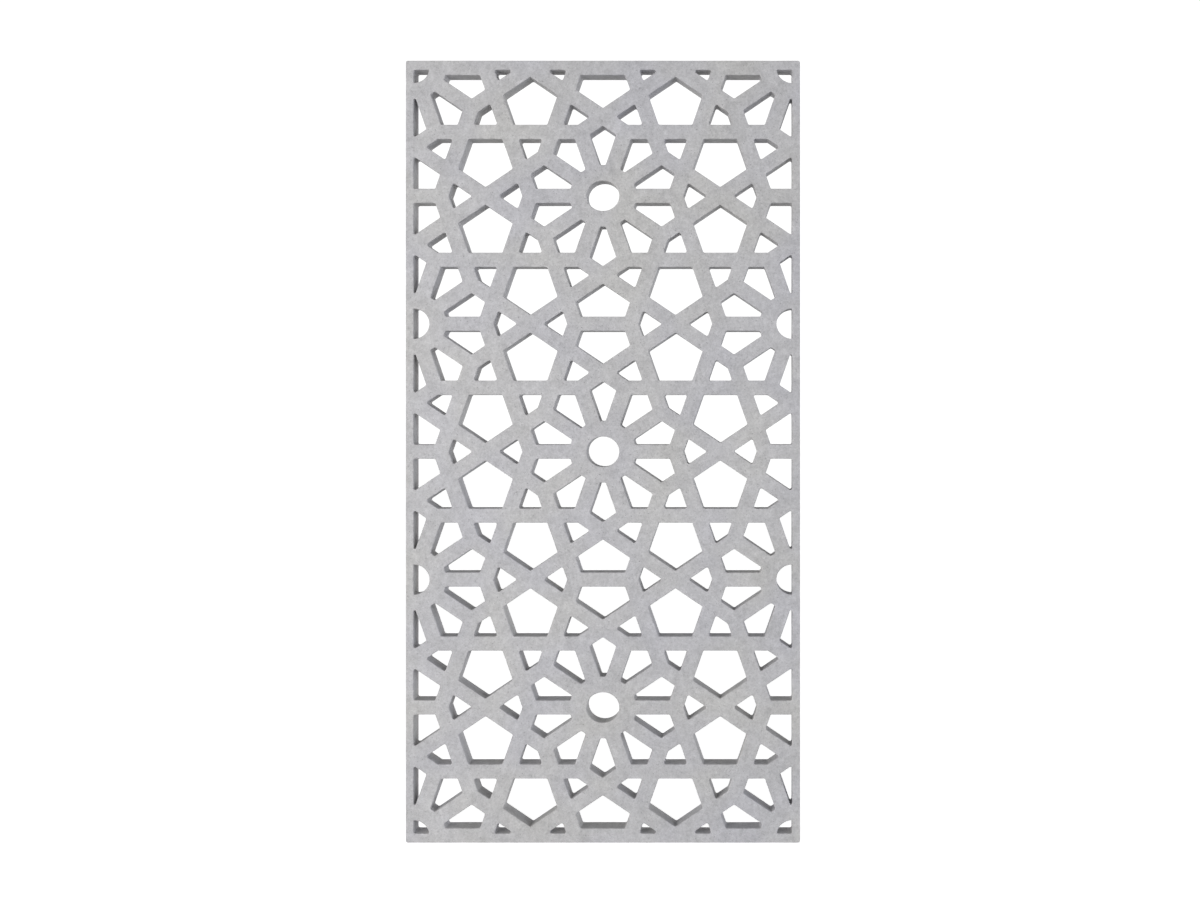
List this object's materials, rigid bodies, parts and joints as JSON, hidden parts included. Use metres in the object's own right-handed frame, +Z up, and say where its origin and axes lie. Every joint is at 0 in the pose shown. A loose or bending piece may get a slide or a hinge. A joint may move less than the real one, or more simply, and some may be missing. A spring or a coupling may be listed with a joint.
{
  "type": "mashrabiya screen",
  "caption": "Tall flat mashrabiya panel in pale grey cast stone, pierced right through by a ten-fold star lattice with rosettes, for building into an opening.",
  "frame": {"origin": "middle of the panel's underside, halfway through its thickness", "axes": "+Z up the panel, +X along its width, +Y through its thickness to the back, so the face looks along -Y"},
  "size_m": [0.6, 0.03, 1.19],
  "materials": {
    "cast_stone": "pale grey glass-fibre reinforced concrete or cast stone, dry, matt and finely grained, with eased edges"
  },
  "bodies": {
    "root": {"lattice_panel": "cast_stone"}
  },
  "joints": []
}
